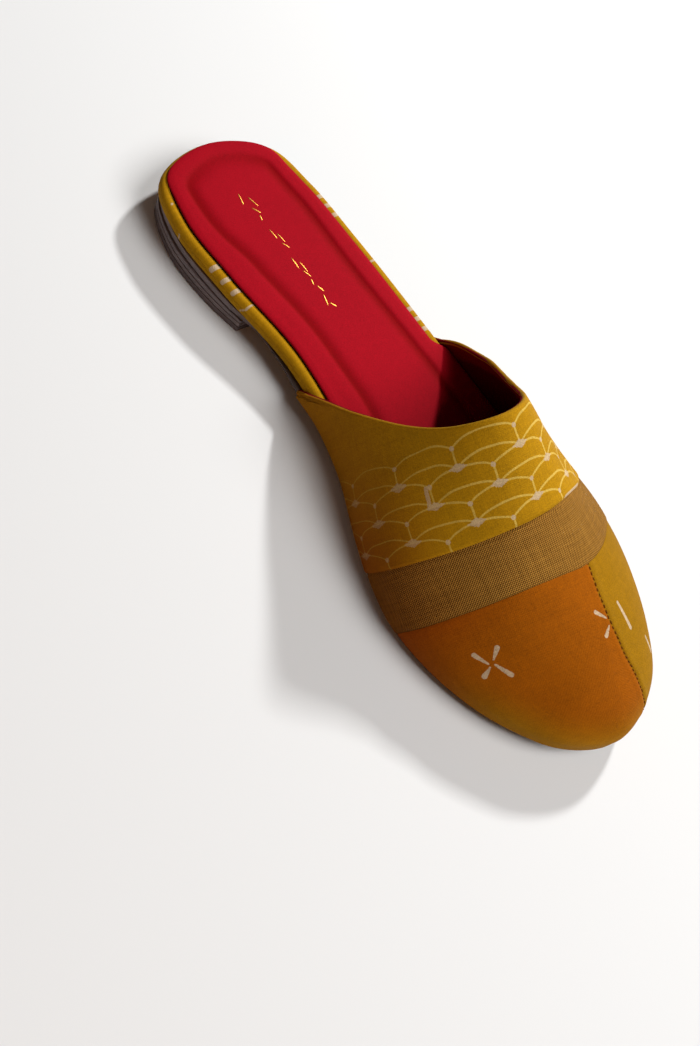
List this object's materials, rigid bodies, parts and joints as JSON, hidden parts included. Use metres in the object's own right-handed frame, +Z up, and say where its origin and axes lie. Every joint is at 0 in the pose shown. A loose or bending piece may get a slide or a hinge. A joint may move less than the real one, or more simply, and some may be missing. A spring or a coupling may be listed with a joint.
{
  "type": "slipper",
  "caption": "Left low-heeled mule slipper: patchwork cotton upper open at the back, fabric-covered footbed with a red leather sock, thin outsole and stacked heel.",
  "frame": {"origin": "middle of the footprint, on the floor", "axes": "+Y from the toe to the heel, +Z up, +X towards the wearer's left, which is the outer side of this left shoe"},
  "size_m": [0.0914, 0.252, 0.0595],
  "materials": {
    "heel_rubber": "matt dark grey-brown rubber",
    "heel_leather": "stained and waxed edge of stacked leather",
    "outsole_leather": "dark smooth sole leather",
    "rim_cotton": "printed plain-weave cotton",
    "sock_leather": "red sueded leather",
    "upper_cotton": "printed plain-weave cotton, several colours"
  },
  "bodies": {
    "root": {"heel_top_piece": "heel_rubber", "heel_lift_1": "heel_leather", "heel_lift_2": "heel_leather", "outsole": "outsole_leather", "platform": "rim_cotton", "sock": "sock_leather", "upper": "upper_cotton"}
  },
  "joints": []
}
